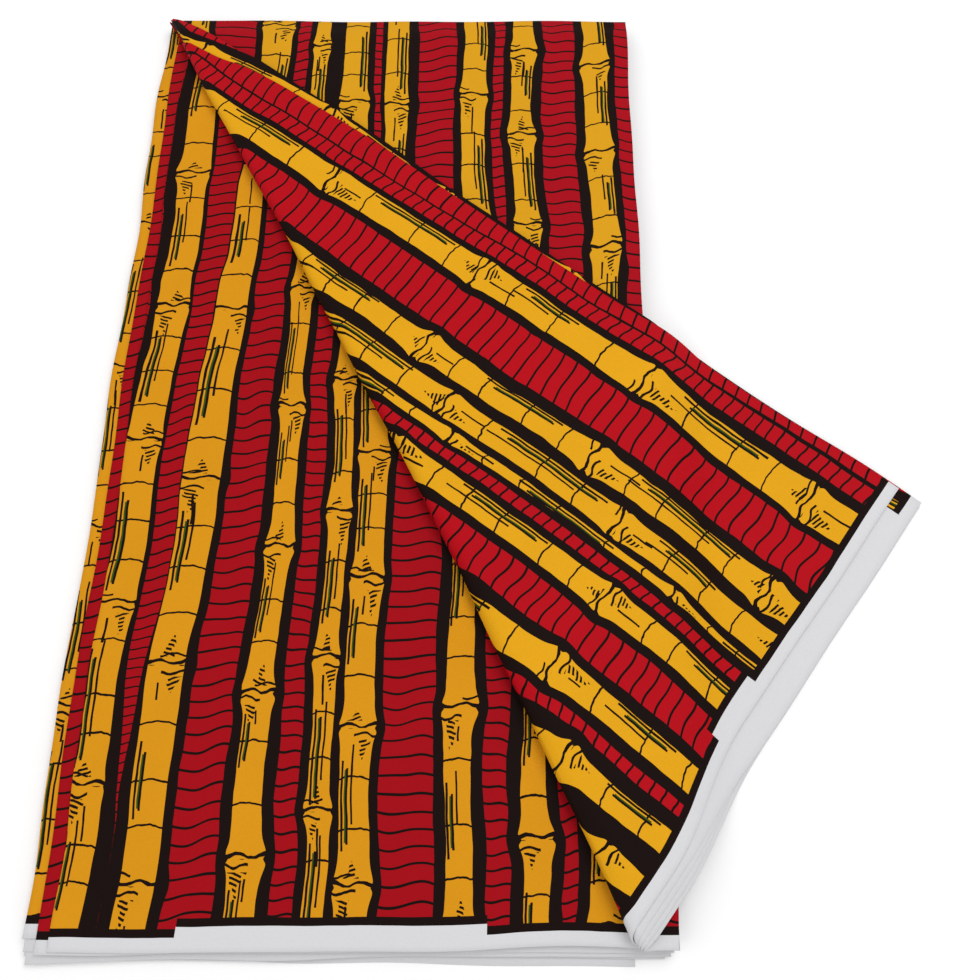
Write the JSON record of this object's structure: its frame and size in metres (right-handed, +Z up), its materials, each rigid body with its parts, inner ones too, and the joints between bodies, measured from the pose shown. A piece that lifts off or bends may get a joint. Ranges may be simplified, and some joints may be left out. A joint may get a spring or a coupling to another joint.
{
  "type": "folded african wax print fabric",
  "caption": "Folded length of cotton wax print lying flat, its upper layers turned back along a slanting fold to make a pointed flap.",
  "frame": {"origin": "under the middle of the whole folded cloth's bounding box, on the surface that it lies on", "axes": "+Z up, +Y from the selvedges towards the top fold, +X to the right, towards the flap's point"},
  "size_m": [0.4868, 0.5928, 0.0213],
  "materials": {
    "printed_cotton": "plain-weave cotton with a slight waxy sheen, printed in red, golden yellow and black"
  },
  "bodies": {
    "root": {"lower_plies": "printed_cotton", "lower_third_leaf": "printed_cotton", "lower_second_leaf": "printed_cotton", "lower_first_leaf": "printed_cotton", "turned_inner_leaf": "printed_cotton", "turned_plies": "printed_cotton", "turned_outer_leaf": "printed_cotton"}
  },
  "joints": []
}
